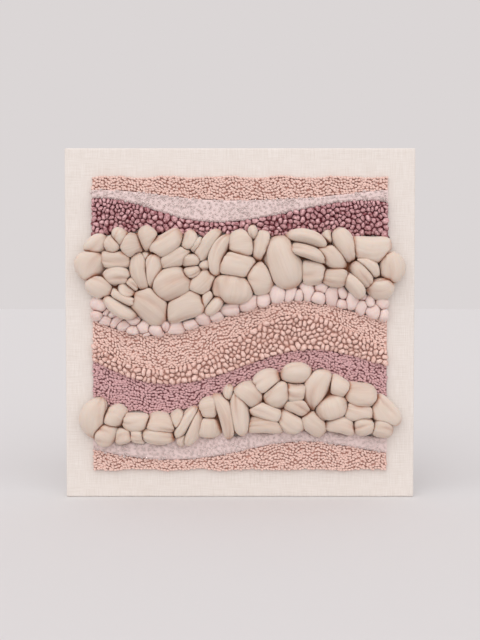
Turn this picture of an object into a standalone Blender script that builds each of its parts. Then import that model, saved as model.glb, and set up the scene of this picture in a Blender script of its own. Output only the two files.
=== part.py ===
"""Textured wool panel: linen stretched over a wooden stretcher frame, with bands of punched
wool pile and chunky combed roving on its face.

Metres, +Z up. The panel stands on its lower edge at z = 0 and its face looks along -Y.
The origin is the middle of the panel's underside.
"""

import math

import bmesh
import bpy
import numpy as np

# Driving sizes of the frame and its cloth.
PANEL_SIDE = 0.508
BAR_DEPTH = 0.038
BAR_WIDTH = 0.038
BAR_BEAD = 0.006
BAR_SLOPE = 0.0035
BAR_EASE = 0.001
LINEN_THICK = 0.001
LINEN_CORNER = 0.002
LINEN_RETURN = 0.030
TOUCH_GAP = 0.0003

# Sizes that follow from them.
PANEL_HALF = PANEL_SIDE / 2
BAR_HALF = PANEL_HALF - LINEN_THICK - TOUCH_GAP
FACE_Y = -(BAR_DEPTH / 2 + TOUCH_GAP + LINEN_THICK)
BACK_Y = -FACE_Y
INSIDE_Y = BAR_DEPTH / 2 + TOUCH_GAP

# The worked field: it stays inside the bars, where a needle can pass through the cloth.
FIELD_HALF = 0.213
FIELD_LOW = 0.041
FIELD_HIGH = 0.466
FIELD_STEPS = 72
STATION = 2 * FIELD_HALF / FIELD_STEPS
BAND_GAP = 0.0006
EDGE_WOBBLE = 0.0012
WOBBLE_LENGTH = 0.083

# The wave that carries all the bands up and down across the field.
WAVE_LIFT = 0.16
WAVE_TURNS = 1.15
WAVE_SHIFT = 0.25

# One row for each band, from the lowest to the highest. share is its mean part of the
# field's height, and swell, crest and turns shape how it widens and narrows across.
BAND_COLUMNS = ("name", "kind", "share", "swell", "crest", "turns")
BAND_ROWS = (
    ("rose_loops_low", "loops_rose", 29, 0.40, 0.60, 1.0),
    ("plush_low", "plush", 26, 0.42, -0.35, 1.3),
    ("roving_low", "roving", 66, 0.34, 0.55, 1.0),
    ("mauve_loops", "loops_mauve", 40, 0.45, -0.80, 1.0),
    ("peach_bobbles", "bobbles_peach", 36, 0.45, 0.30, 1.0),
    ("rose_loops_middle", "loops_rose", 38, 0.45, -0.50, 1.1),
    ("pink_roving", "roving_pink", 24, 0.30, 0.75, 1.0),
    ("roving_high", "roving", 100, 0.26, -0.45, 1.0),
    ("mauve_bobbles", "bobbles_mauve", 35, 0.44, 0.80, 1.0),
    ("plush_high", "plush", 24, 0.50, -0.10, 1.2),
    ("rose_loops_high", "loops_rose", 29, 0.40, 0.10, 1.0),
)
BANDS = [dict(zip(BAND_COLUMNS, row)) for row in BAND_ROWS]

# Pile: how far each kind stands off the cloth, its solid's strips across, the depth of its
# unevenness and the width of its rounded edge.
PILE_COLUMNS = ("height", "strips", "lump", "edge")
PILE = {
    "loops_rose": dict(zip(PILE_COLUMNS, (0.0070, 2, 0.0002, 0.0025))),
    "loops_mauve": dict(zip(PILE_COLUMNS, (0.0070, 2, 0.0002, 0.0025))),
    "bobbles_peach": dict(zip(PILE_COLUMNS, (0.0125, 4, 0.0010, 0.0040))),
    "bobbles_mauve": dict(zip(PILE_COLUMNS, (0.0125, 4, 0.0010, 0.0040))),
    "plush": dict(zip(PILE_COLUMNS, (0.0105, 2, 0.0008, 0.0040))),
}
PILE_RIM = 0.55
LUMP_LENGTH = 0.026

# Roving: a fat strand of combed wool that goes in and out of the cloth and stands as lobes.
# lobe is the mean width of a lobe's place, height its rise, stretch its length against its
# width, overhang how far the band passes the field's sides, strips its solid's across.
# A band with no overhang ends square at the field's sides, and the others end round.
ROVING_COLUMNS = ("lobe", "height", "stretch", "overhang", "strips", "seed")
ROVING = {
    "roving_low": dict(zip(ROVING_COLUMNS, (0.0350, 0.030, 1.30, 0.017, 14, 5))),
    "roving_high": dict(zip(ROVING_COLUMNS, (0.0365, 0.032, 1.30, 0.019, 20, 11))),
    "pink_roving": dict(zip(ROVING_COLUMNS, (0.0160, 0.017, 1.25, 0.0, 7, 23))),
}
LOBE_ROUNDS = 14
LOBE_SAMPLE = 0.0025
LOBE_OVERLAP = 1.08
LOBE_SEAT = 0.34
LOBE_SIZES = (0.72, 1.32)
HEIGHT_SPREAD = (0.84, 1.06)
ROVING_FLOOR = 0.34
ENVELOPE_SPREAD = 0.004
END_OPENING = 0.007

# Colour, roughness and metallic value of each material.
MATERIAL_ROWS = {
    "wood": ((0.78, 0.64, 0.46), 0.65, 0.0),
    "linen": ((0.86, 0.81, 0.75), 0.90, 0.0),
    "loops_rose": ((0.68, 0.45, 0.38), 0.95, 0.0),
    "loops_mauve": ((0.50, 0.30, 0.30), 0.95, 0.0),
    "bobbles_peach": ((0.66, 0.43, 0.36), 0.95, 0.0),
    "bobbles_mauve": ((0.44, 0.24, 0.25), 0.95, 0.0),
    "plush": ((0.78, 0.60, 0.57), 0.95, 0.0),
    "roving": ((0.72, 0.61, 0.51), 0.90, 0.0),
    "roving_pink": ((0.78, 0.64, 0.60), 0.90, 0.0),
}


def make_materials():
    """One Principled material for each kind of stuff."""
    made = {}
    for name, (colour, roughness, metallic) in MATERIAL_ROWS.items():
        material = bpy.data.materials.new(name)
        material.use_nodes = True
        shader = material.node_tree.nodes["Principled BSDF"]
        shader.inputs["Base Color"].default_value = (*colour, 1.0)
        shader.inputs["Roughness"].default_value = roughness
        shader.inputs["Metallic"].default_value = metallic
        made[name] = material
    return made


def add_object(name, mesh, material):
    """An object of this mesh and material in the scene."""
    mesh.materials.clear()
    mesh.materials.append(material)
    obj = bpy.data.objects.new(name, mesh)
    bpy.context.scene.collection.objects.link(obj)
    return obj


def closed_mesh(name, points, faces):
    """A mesh of these faces with its normals turned out."""
    mesh = bpy.data.meshes.new(name)
    mesh.from_pydata([tuple(map(float, p)) for p in points], [], faces)
    shape = bmesh.new()
    shape.from_mesh(mesh)
    bmesh.ops.recalc_face_normals(shape, faces=shape.faces)
    shape.to_mesh(mesh)
    shape.free()
    return mesh


# Stretcher frame

def bar_mesh():
    """The lower bar round the panel's centre: a beaded profile with mitred ends."""
    half_depth = BAR_DEPTH / 2
    profile = (
        (0.0, -half_depth),
        (BAR_BEAD, -half_depth),
        (BAR_WIDTH, -half_depth + BAR_SLOPE),
        (BAR_WIDTH, half_depth),
        (0.0, half_depth),
    )
    points = []
    for side in (-1, 1):
        for inward, depth in profile:
            end = BAR_HALF - inward - TOUCH_GAP
            points.append((side * end, depth, -BAR_HALF + inward))
    count = len(profile)
    faces = [tuple(range(count)), tuple(range(2 * count - 1, count - 1, -1))]
    for k in range(count):
        after = (k + 1) % count
        faces.append((k, after, after + count, k + count))
    return closed_mesh("stretcher_bar", points, faces)


def make_bars(material):
    """Four mitred bars, each the lower one turned round the panel's centre."""
    mesh = bar_mesh()
    for turn, name in enumerate(("bar_bottom", "bar_left", "bar_top", "bar_right")):
        bar = add_object(name, mesh if turn == 0 else mesh.copy(), material)
        bar.location = (0.0, 0.0, PANEL_HALF)
        bar.rotation_euler = (0.0, turn * math.pi / 2, 0.0)
        ease = bar.modifiers.new("eased edges", "BEVEL")
        ease.width = BAR_EASE
        ease.segments = 1
        ease.limit_method = "ANGLE"
        ease.angle_limit = math.radians(50)


# Linen cover

def add_box(name, low, high, material):
    """A box between two corners, with its place in its mesh."""
    mesh = bpy.data.meshes.new(name)
    shape = bmesh.new()
    bmesh.ops.create_cube(shape, size=1.0)
    for vert in shape.verts:
        for axis in range(3):
            middle = (low[axis] + high[axis]) / 2
            vert.co[axis] = middle + vert.co[axis] * (high[axis] - low[axis])
    shape.to_mesh(mesh)
    shape.free()
    return add_object(name, mesh, material)


def cut_from(target, cutter):
    """Takes the cutter's space out of the target and keeps the cutter out of the model."""
    cutter.hide_render = True
    cutter.display_type = "WIRE"
    cut = target.modifiers.new("cut " + cutter.name, "BOOLEAN")
    cut.operation = "DIFFERENCE"
    cut.solver = "EXACT"
    cut.object = cutter


def make_linen(material):
    """One stretched cloth: its face, four sides and the turned-in strip on the back."""
    linen = add_box(
        "linen_cover", (-PANEL_HALF, FACE_Y, 0.0), (PANEL_HALF, BACK_Y, PANEL_SIDE), material
    )
    rounding = linen.modifiers.new("rounded corners", "BEVEL")
    rounding.width = LINEN_CORNER
    rounding.segments = 2
    inner = PANEL_HALF - LINEN_THICK
    hollow = add_box(
        "linen_inside",
        (-inner, -INSIDE_Y, LINEN_THICK),
        (inner, INSIDE_Y, PANEL_SIDE - LINEN_THICK),
        material,
    )
    window = add_box(
        "linen_back_window",
        (LINEN_RETURN - PANEL_HALF, 0.0, LINEN_RETURN),
        (PANEL_HALF - LINEN_RETURN, 2 * BACK_Y, PANEL_SIDE - LINEN_RETURN),
        material,
    )
    cut_from(linen, hollow)
    cut_from(linen, window)


# Layout of the bands

def band_edges(x):
    """Heights of the 12 lines between and round the bands at each x."""
    across = np.clip(np.asarray(x, float) / FIELD_HALF, -1.0, 1.0)
    weights = np.array([
        band["share"] * (1 + band["swell"] * np.cos(math.pi * band["turns"] * (across - band["crest"])))
        for band in BANDS
    ])
    running = np.concatenate((weights[:1] * 0.0, np.cumsum(weights, axis=0)))
    share = running / weights.sum(axis=0)
    lift = WAVE_LIFT * np.sin(math.pi * WAVE_TURNS * (across + WAVE_SHIFT)) / math.pi
    share = share + lift * np.sin(math.pi * share)
    edges = FIELD_LOW + (FIELD_HIGH - FIELD_LOW) * share
    wobble = EDGE_WOBBLE * np.sin(2 * math.pi * across * FIELD_HALF / WOBBLE_LENGTH)
    edges[0] += wobble
    edges[-1] -= wobble
    return edges


def roving_lobes(index, stations, edges):
    """The lobes of one roving band, packed between its edges like cobbles.

    Each lobe starts at a random place with a random turn and size, and moves to the middle
    of the ground that is nearest to it until all have room. Each row then is the lobe's
    middle (x, z), the three terms of its outline's metric, its seat and its rise.
    """
    size = ROVING[BANDS[index]["name"]]
    chance = np.random.default_rng(size["seed"])
    reach = FIELD_HALF + size["overhang"]
    x, z = np.meshgrid(
        np.arange(-reach, reach, LOBE_SAMPLE),
        np.arange(FIELD_LOW, FIELD_HIGH, LOBE_SAMPLE),
    )
    low = np.interp(x[0], stations, edges[index])
    high = np.interp(x[0], stations, edges[index + 1])
    middle, half = (low + high) / 2, (high - low) / 2
    past = np.maximum(np.abs(x) - (reach - half), 0.0) * (size["overhang"] > 0)
    inside = past ** 2 + (z - middle) ** 2 < half ** 2
    ground = np.column_stack([x[inside], z[inside]])
    count = int(round(len(ground) * LOBE_SAMPLE ** 2 / size["lobe"] ** 2))
    centres = ground[chance.choice(len(ground), count, replace=False)]
    turns = chance.uniform(0.0, math.pi, count)
    sizes = chance.uniform(*LOBE_SIZES, count)
    along = np.column_stack([np.cos(turns), np.sin(turns)])
    across = np.column_stack([-np.sin(turns), np.cos(turns)])
    for _ in range(LOBE_ROUNDS):
        apart = ground[:, None, :] - centres
        long_way = (apart * along).sum(axis=2) / size["stretch"]
        short_way = (apart * across).sum(axis=2)
        owner = ((long_way ** 2 + short_way ** 2) / sizes ** 2).argmin(axis=1)
        for lobe in range(count):
            own = ground[owner == lobe]
            if len(own) > 4:
                centres[lobe] = own.mean(axis=0)
    lobes = []
    for lobe in range(count):
        own = ground[owner == lobe]
        if len(own) < 12:
            continue
        spread = np.cov(own.T) * (2 * LOBE_OVERLAP) ** 2
        metric = np.linalg.inv(spread)
        width = 2 * math.sqrt(math.sqrt(np.linalg.det(spread)))
        rise = size["height"] * chance.uniform(*HEIGHT_SPREAD)
        rise = rise * min(1.0, 0.55 + 0.45 * width / (size["lobe"] * 1.25))
        seat = LOBE_SEAT * size["height"]
        lobes.append((*own.mean(axis=0), metric[0, 0], metric[0, 1], metric[1, 1], seat, rise - seat))
    return np.array(lobes)


def envelope(lobes, x, sign):
    """The outline of a roving band above (sign 1) or below (sign -1) at each x."""
    total = np.zeros_like(x)
    found = np.zeros_like(x)
    for offset in np.linspace(-1, 1, 5) * ENVELOPE_SPREAD:
        run = x[:, None] + offset - lobes[:, 0]
        inside = (lobes[:, 3] * run) ** 2 - lobes[:, 4] * (lobes[:, 2] * run ** 2 - 1)
        reach = (-lobes[:, 3] * run + sign * np.sqrt(np.maximum(inside, 0.0))) / lobes[:, 4]
        level = np.where(inside > 0, sign * (lobes[:, 1] + reach), -1.0).max(axis=1)
        total += np.where(level > -1, sign * level, 0.0)
        found += level > -1
    return total / np.maximum(found, 1)


def relief(lobes, x, z):
    """How far the lobes stand off the cloth at each point."""
    run = x[..., None] - lobes[:, 0]
    lift = z[..., None] - lobes[:, 1]
    field = lobes[:, 2] * run ** 2 + 2 * lobes[:, 3] * run * lift + lobes[:, 4] * lift ** 2
    dome = lobes[:, 5] + lobes[:, 6] * np.sqrt(np.maximum(1 - field, 0.0))
    height = np.where(field < 1, dome, 0.0).max(axis=-1)
    return np.maximum(height, lobes[0, 5] * ROVING_FLOOR / LOBE_SEAT)


def lay_out(stations):
    """The edges that the bands share at these stations, and the roving's lobes.

    The roving is laid first, the fattest before the others, and its lobes shape the edges
    that the bands beside it follow.
    """
    edges = band_edges(stations)
    fattest_first = sorted(
        (index for index, band in enumerate(BANDS) if band["name"] in ROVING),
        key=lambda index: -ROVING[BANDS[index]["name"]]["lobe"],
    )
    lobes_of = {}
    for index in fattest_first:
        lobes = roving_lobes(index, stations, edges)
        if index - 1 not in lobes_of:
            edges[index] = envelope(lobes, stations, -1)
        if index + 1 not in lobes_of:
            edges[index + 1] = envelope(lobes, stations, 1)
        lobes_of[index] = lobes
    return edges, lobes_of


# Solids of the bands

def band_solid(name, x, z, heights, material):
    """A closed solid on the cloth: z is its plan at each station, and heights raises it."""
    stations, rows = heights.shape
    bed = FACE_Y - TOUCH_GAP
    points = []
    for i in range(stations):
        for k in range(rows):
            points.append((x[i], bed - heights[i, k], z[i, k]))
    first_bed = len(points)
    for i in range(stations):
        points.append((x[i], bed, z[i, 0]))
        points.append((x[i], bed, z[i, -1]))
    faces = []
    for i in range(stations - 1):
        here, after = i * rows, (i + 1) * rows
        under, under_after = first_bed + 2 * i, first_bed + 2 * (i + 1)
        for k in range(rows - 1):
            faces.append((here + k, here + k + 1, after + k + 1, after + k))
        faces.append((under, here, after, under_after))
        faces.append((under + 1, under_after + 1, after + rows - 1, here + rows - 1))
        faces.append((under, under_after, under_after + 1, under + 1))
    for i in (0, stations - 1):
        rim = [i * rows + k for k in range(rows)]
        faces.append((first_bed + 2 * i, *rim, first_bed + 2 * i + 1))
    mesh = closed_mesh(name, points, faces)
    mesh.shade_smooth()
    return add_object(name, mesh, material)


def pile_plan(kind, low, high):
    """The heights in z of a pile band's lines: close at its edges, even between them."""
    size = PILE[kind]
    inner = np.linspace(0.0, 1.0, size["strips"] + 1)
    start, end = low + size["edge"], high - size["edge"]
    middle = start[:, None] + (end - start)[:, None] * inner
    return np.column_stack([low, middle, high])


def pile_heights(kind, x, z):
    """A pile band's top: lower at its edges and a little uneven between them."""
    size = PILE[kind]
    lump = np.sin(2 * math.pi * x[:, None] / LUMP_LENGTH) * np.sin(2 * math.pi * z / LUMP_LENGTH)
    heights = size["height"] + size["lump"] * (lump - 1)
    heights[:, (0, -1)] = size["height"] * PILE_RIM
    return heights


def past_the_sides(lobes, x, low, high):
    """Adds the stations where a roving band hangs over the field's two sides."""
    for sign in (-1, 1):
        for step in range(1, 12):
            at = np.array([sign * (FIELD_HALF + step * STATION)])
            more_low = envelope(lobes, at, -1) + BAND_GAP
            more_high = envelope(lobes, at, 1) - BAND_GAP
            if more_high[0] - more_low[0] < END_OPENING:
                break
            pair = (at, x) if sign < 0 else (x, at)
            x = np.concatenate(pair)
            low = np.concatenate((more_low, low) if sign < 0 else (low, more_low))
            high = np.concatenate((more_high, high) if sign < 0 else (high, more_high))
    return x, low, high


def make_bands(materials):
    """All the bands on shared stations, so that neighbours meet along the same line."""
    field_x = np.linspace(-FIELD_HALF, FIELD_HALF, FIELD_STEPS + 1)
    edges, lobes_of = lay_out(field_x)
    for index, band in enumerate(BANDS):
        low = edges[index] + BAND_GAP / 2
        high = edges[index + 1] - BAND_GAP / 2
        x = field_x
        if index in lobes_of:
            size = ROVING[band["name"]]
            if size["overhang"] > 0:
                x, low, high = past_the_sides(lobes_of[index], x, low, high)
            z = low[:, None] + (high - low)[:, None] * np.linspace(0, 1, size["strips"] + 1)
            heights = relief(lobes_of[index], x[:, None], z)
        else:
            z = pile_plan(band["kind"], low, high)
            heights = pile_heights(band["kind"], x, z)
        band_solid(band["name"], x, z, heights, materials[band["kind"]])


def main():
    for obj in list(bpy.data.objects):
        bpy.data.objects.remove(obj)
    materials = make_materials()
    make_bars(materials["wood"])
    make_linen(materials["linen"])
    make_bands(materials)


main()
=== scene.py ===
# %% [markdown]
# # A wool panel on a stretcher frame
# Linen is stretched over a wooden frame, and its face is worked in wavy bands: fine punched
# loops, cut plush, fat twisted loops and thick combed roving that stands in soft lobes.
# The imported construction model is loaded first. It is in metres, with Z up and the face
# towards -Y. Its frame bars stay, and every cloth or wool solid gets a finer piece in its place.

# %% Load the fixed frame
import math

import bpy
import numpy as np
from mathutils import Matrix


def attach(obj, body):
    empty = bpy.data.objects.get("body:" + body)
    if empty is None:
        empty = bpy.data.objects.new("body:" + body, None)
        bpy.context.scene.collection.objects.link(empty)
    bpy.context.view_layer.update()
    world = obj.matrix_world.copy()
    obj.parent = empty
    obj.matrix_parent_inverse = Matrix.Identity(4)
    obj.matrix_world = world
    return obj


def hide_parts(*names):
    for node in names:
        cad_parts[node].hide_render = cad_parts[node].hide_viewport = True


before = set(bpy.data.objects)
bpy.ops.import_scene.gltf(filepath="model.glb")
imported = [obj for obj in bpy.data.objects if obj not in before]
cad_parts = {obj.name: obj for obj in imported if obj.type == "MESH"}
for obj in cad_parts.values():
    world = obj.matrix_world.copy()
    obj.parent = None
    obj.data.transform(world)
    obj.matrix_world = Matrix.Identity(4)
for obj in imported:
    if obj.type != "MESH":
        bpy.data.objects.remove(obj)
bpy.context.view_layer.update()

# %% [markdown]
# ## The room and the camera
# The panel stands on a pale, matt floor in even studio light. The floor is one wide plane,
# and the light round it comes from the world, so that no wall hides the panel from behind.
# The camera looks slightly down at the face, as a photographer's does from 1.3 m away.

# %% Sizes of the panel that the scene needs
PANEL_HALF = 0.254
FACE_Y = -0.0203


def linear(red, green, blue):
    """A colour given as 0 to 255 on a screen, as the linear values that shaders take."""
    shares = [value / 255 for value in (red, green, blue)]
    return tuple(s / 12.92 if s <= 0.04045 else ((s + 0.055) / 1.055) ** 2.4 for s in shares)


# %% Camera
CAMERA_DISTANCE = 1.293
CAMERA_TILT = math.radians(1.87)
CAMERA_HEIGHT = 0.3014
CAMERA_LENS = 50
CAMERA_SENSOR = 36

camera_data = bpy.data.cameras.new("camera")
camera_data.lens = CAMERA_LENS
camera_data.sensor_width = CAMERA_SENSOR
camera = bpy.data.objects.new("camera", camera_data)
camera.location = (0.0, FACE_Y - CAMERA_DISTANCE * math.cos(CAMERA_TILT), CAMERA_HEIGHT)
camera.rotation_euler = (math.pi / 2 - CAMERA_TILT, 0.0, 0.0)
bpy.context.scene.collection.objects.link(camera)
bpy.context.scene.camera = camera
print("camera at", tuple(round(v, 3) for v in camera.location))

# %% Helpers for shader nodes
def set_inputs(node, values):
    """Gives a node's inputs their numbers, or links them to the outputs of other nodes."""
    for name, value in values.items():
        if isinstance(value, bpy.types.NodeSocket):
            node.id_data.links.new(value, node.inputs[name])
        else:
            node.inputs[name].default_value = value


def add_output(tree, kind, output, values=None, **settings):
    """One output of a new shader node that has these settings and inputs."""
    node = tree.nodes.new("ShaderNode" + kind)
    for name, value in settings.items():
        setattr(node, name, value)
    set_inputs(node, values or {})
    return node.outputs[output]


def add_maths(tree, operation, *numbers, **settings):
    """The result of an operation on numbers or on the outputs of other nodes."""
    return add_output(tree, "Math", 0, dict(enumerate(numbers)), operation=operation, **settings)


def add_mix(tree, factor, first, second):
    """The mix of two colours."""
    return add_output(tree, "Mix", "Result", {"Factor": factor, "A": first, "B": second}, data_type="RGBA")


def add_ramp(tree, factor, stops):
    """The colour that a ramp gives for a number; each stop is a place and a colour."""
    ramp = tree.nodes.new("ShaderNodeValToRGB")
    elements = ramp.color_ramp.elements
    for at, (place, colour) in enumerate(stops):
        element = elements[at] if at < 2 else elements.new(place)
        element.position = place
        element.color = (*colour, 1.0)
    set_inputs(ramp, {"Fac": factor})
    return ramp.outputs["Color"]


def stretched_noise(tree, where, scale, detail, roughness, distortion=0.0, shift=(0.0, 0.0, 0.0)):
    """Noise with its own scale along each axis."""
    place = add_output(tree, "Mapping", "Vector", {"Vector": where, "Scale": scale, "Location": shift})
    return add_output(tree, "TexNoise", "Fac", {
        "Vector": place, "Scale": 1.0, "Detail": detail, "Roughness": roughness, "Distortion": distortion,
    })


def plain_material(name, colour, values):
    """A Principled material of one colour, its node tree and its shader node."""
    material = bpy.data.materials.new(name)
    material.use_nodes = True
    shader = material.node_tree.nodes["Principled BSDF"]
    set_inputs(shader, {"Base Color": (*colour, 1.0), **values})
    return material, material.node_tree, shader


# %% Floor, world and lights
def only_select(obj=None):
    """Deselects everything but this object, and makes it the active one."""
    bpy.ops.object.select_all(action="DESELECT")
    if obj is not None:
        obj.select_set(True)
        bpy.context.view_layer.objects.active = obj


only_select()
bpy.ops.mesh.primitive_circle_add(vertices=64, radius=14, fill_type="NGON", location=(0, 0, 0))
floor = bpy.context.object
floor.name = "floor"
floor_material, floor_tree, floor_shader = plain_material(
    "floor_paint", (0.722, 0.714, 0.720), {"Roughness": 0.9, "Specular IOR Level": 0.0}
)
where = add_output(floor_tree, "TexCoord", "Object")
grain = add_output(floor_tree, "TexNoise", "Fac", {"Vector": where, "Scale": 60.0, "Detail": 3.0})
bump = add_output(floor_tree, "Bump", "Normal", {"Height": grain, "Strength": 0.05, "Distance": 0.001})
set_inputs(floor_shader, {"Normal": bump})
floor.data.materials.append(floor_material)

world = bpy.data.worlds.new("studio")
world.use_nodes = True
set_inputs(world.node_tree.nodes["Background"], {"Color": (*linear(219, 214, 214), 1.0), "Strength": 1.0})
bpy.context.scene.world = world
bpy.context.scene.view_settings.view_transform = "Standard"

only_select()
for name, location, tilt, turn, spread, energy, colour in (
    ("soft_key", (-1.2, -1.6, 1.8), 48, -34, 70, 0.88, (1.0, 0.985, 0.97)),
    ("front_fill", (0.8, -2.0, 1.0), 68, 20, 90, 0.98, (1.0, 1.0, 1.0)),
):
    bpy.ops.object.light_add(type="SUN", location=location)
    sun = bpy.context.object
    sun.name = name
    sun.rotation_euler = (math.radians(tilt), 0.0, math.radians(turn))
    sun.data.angle = math.radians(spread)
    sun.data.energy = energy
    sun.data.color = colour
    print("light:", sun.name)

# %% [markdown]
# ## How the bands lie
# Someone who punches a panel first draws lines on the cloth. Here a short table gives each
# band's share of the height and how it swells and narrows from left to right, and one wave
# carries them all. These are the same values as in the construction, so that each finer
# piece stands exactly where its solid stood.

# %% Table of the bands
FIELD_HALF = 0.213
FIELD_LOW = 0.041
FIELD_HIGH = 0.466
FIELD_STEPS = 72
EDGE_WOBBLE = 0.0012
WOBBLE_LENGTH = 0.083
WAVE_LIFT = 0.16
WAVE_TURNS = 1.15
WAVE_SHIFT = 0.25

BAND_COLUMNS = ("name", "kind", "share", "swell", "crest", "turns")
BAND_ROWS = (
    ("rose_loops_low", "loops_rose", 29, 0.40, 0.60, 1.0),
    ("plush_low", "plush", 26, 0.42, -0.35, 1.3),
    ("roving_low", "roving", 66, 0.34, 0.55, 1.0),
    ("mauve_loops", "loops_mauve", 40, 0.45, -0.80, 1.0),
    ("peach_bobbles", "bobbles_peach", 36, 0.45, 0.30, 1.0),
    ("rose_loops_middle", "loops_rose", 38, 0.45, -0.50, 1.1),
    ("pink_roving", "roving_pink", 24, 0.30, 0.75, 1.0),
    ("roving_high", "roving", 100, 0.26, -0.45, 1.0),
    ("mauve_bobbles", "bobbles_mauve", 35, 0.44, 0.80, 1.0),
    ("plush_high", "plush", 24, 0.50, -0.10, 1.2),
    ("rose_loops_high", "loops_rose", 29, 0.40, 0.10, 1.0),
)
BANDS = [dict(zip(BAND_COLUMNS, row)) for row in BAND_ROWS]

ROVING_COLUMNS = ("lobe", "height", "stretch", "overhang", "seed")
ROVING = {
    "roving_low": dict(zip(ROVING_COLUMNS, (0.0350, 0.030, 1.30, 0.017, 5))),
    "roving_high": dict(zip(ROVING_COLUMNS, (0.0365, 0.032, 1.30, 0.019, 11))),
    "pink_roving": dict(zip(ROVING_COLUMNS, (0.0160, 0.017, 1.25, 0.0, 23))),
}
LOBE_ROUNDS = 14
LOBE_SAMPLE = 0.0025
LOBE_OVERLAP = 1.08
LOBE_SEAT = 0.34
LOBE_SIZES = (0.72, 1.32)
HEIGHT_SPREAD = (0.84, 1.06)
ENVELOPE_SPREAD = 0.004
LEAST_GROUND = 12
FLATTEST = 0.55


def band_edges(x):
    """Heights of the 12 lines between and round the bands at each x."""
    across = np.clip(np.asarray(x, float) / FIELD_HALF, -1.0, 1.0)
    weights = np.array([
        band["share"] * (1 + band["swell"] * np.cos(math.pi * band["turns"] * (across - band["crest"])))
        for band in BANDS
    ])
    running = np.concatenate((weights[:1] * 0.0, np.cumsum(weights, axis=0)))
    share = running / weights.sum(axis=0)
    lift = WAVE_LIFT * np.sin(math.pi * WAVE_TURNS * (across + WAVE_SHIFT)) / math.pi
    share = share + lift * np.sin(math.pi * share)
    edges = FIELD_LOW + (FIELD_HIGH - FIELD_LOW) * share
    wobble = EDGE_WOBBLE * np.sin(2 * math.pi * across * FIELD_HALF / WOBBLE_LENGTH)
    edges[0] += wobble
    edges[-1] -= wobble
    return edges


# %% [markdown]
# Roving is a strand as thick as a finger or two. Where it comes up through the cloth it
# stands as a lobe, and the lobes press together like cobbles. To place them, as many
# points as there are lobes are thrown into the band, and each moves to the middle of the
# ground that is nearest to it, again and again, until all have room.

# %% Places of the roving's lobes
def shared_out(ground, pitch, step, stretch, size_range, rounds, chance):
    """Shares out ground between cells that drift, round by round, to the middle of their own."""
    count = int(round(len(ground) * step ** 2 / pitch ** 2))
    centres = ground[chance.choice(len(ground), count, replace=False)]
    turns = chance.uniform(0.0, math.pi, count)
    sizes = chance.uniform(*size_range, count)
    along = np.column_stack([np.cos(turns), np.sin(turns)])
    across = np.column_stack([-np.sin(turns), np.cos(turns)])
    for _ in range(rounds):
        apart = ground[:, None, :] - centres
        long_way = (apart * along).sum(axis=2) / stretch
        short_way = (apart * across).sum(axis=2)
        owner = ((long_way ** 2 + short_way ** 2) / sizes ** 2).argmin(axis=1)
        for cell in range(count):
            own = ground[owner == cell]
            if len(own) > 4:
                centres[cell] = own.mean(axis=0)
    return [ground[owner == cell] for cell in range(count)]


def fitted_outline(own, overlap):
    """The ellipse that fits a cell's ground: its middle, its three axis numbers and its width."""
    spread = np.cov(own.T) * (2 * overlap) ** 2
    metric = np.linalg.inv(spread)
    width = 2 * math.sqrt(math.sqrt(np.linalg.det(spread)))
    return (*own.mean(axis=0), metric[0, 0], metric[0, 1], metric[1, 1]), width


def roving_lobes(index, stations, edges):
    """Lobes packed between a band's edges: middle, the axes of the outline, seat and rise."""
    size = ROVING[BANDS[index]["name"]]
    chance = np.random.default_rng(size["seed"])
    reach = FIELD_HALF + size["overhang"]
    x, z = np.meshgrid(
        np.arange(-reach, reach, LOBE_SAMPLE),
        np.arange(FIELD_LOW, FIELD_HIGH, LOBE_SAMPLE),
    )
    low = np.interp(x[0], stations, edges[index])
    high = np.interp(x[0], stations, edges[index + 1])
    middle, half = (low + high) / 2, (high - low) / 2
    past = np.maximum(np.abs(x) - (reach - half), 0.0) * (size["overhang"] > 0)
    inside = past ** 2 + (z - middle) ** 2 < half ** 2
    ground = np.column_stack([x[inside], z[inside]])
    lobes = []
    for own in shared_out(
        ground, size["lobe"], LOBE_SAMPLE, size["stretch"], LOBE_SIZES, LOBE_ROUNDS, chance
    ):
        if len(own) < LEAST_GROUND:
            continue
        outline, width = fitted_outline(own, LOBE_OVERLAP)
        rise = size["height"] * chance.uniform(*HEIGHT_SPREAD)
        rise = rise * min(1.0, FLATTEST + 0.45 * width / (size["lobe"] * 1.25))
        seat = LOBE_SEAT * size["height"]
        lobes.append((*outline, seat, rise - seat))
    return np.array(lobes)


def envelope(lobes, x, sign):
    """The outline of a roving band above (sign 1) or below (sign -1) at each x."""
    total = np.zeros_like(x)
    found = np.zeros_like(x)
    for offset in np.linspace(-1, 1, 5) * ENVELOPE_SPREAD:
        run = x[:, None] + offset - lobes[:, 0]
        inside = (lobes[:, 3] * run) ** 2 - lobes[:, 4] * (lobes[:, 2] * run ** 2 - 1)
        reach = (-lobes[:, 3] * run + sign * np.sqrt(np.maximum(inside, 0.0))) / lobes[:, 4]
        level = np.where(inside > 0, sign * (lobes[:, 1] + reach), -1.0).max(axis=1)
        total += np.where(level > -1, sign * level, 0.0)
        found += level > -1
    return total / np.maximum(found, 1)


def lay_out(stations):
    """The edges that the bands share at these stations, and the roving's lobes."""
    edges = band_edges(stations)
    fattest_first = sorted(
        (index for index, band in enumerate(BANDS) if band["name"] in ROVING),
        key=lambda index: -ROVING[BANDS[index]["name"]]["lobe"],
    )
    lobes_of = {}
    for index in fattest_first:
        lobes = roving_lobes(index, stations, edges)
        if index - 1 not in lobes_of:
            edges[index] = envelope(lobes, stations, -1)
        if index + 1 not in lobes_of:
            edges[index + 1] = envelope(lobes, stations, 1)
        lobes_of[index] = lobes
    return edges, lobes_of


STATIONS = np.linspace(-FIELD_HALF, FIELD_HALF, FIELD_STEPS + 1)
EDGES, LOBES = lay_out(STATIONS)
BED_Y = FACE_Y - 0.0003
print("lobes:", {BANDS[i]["name"]: len(found) for i, found in LOBES.items()})

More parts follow.
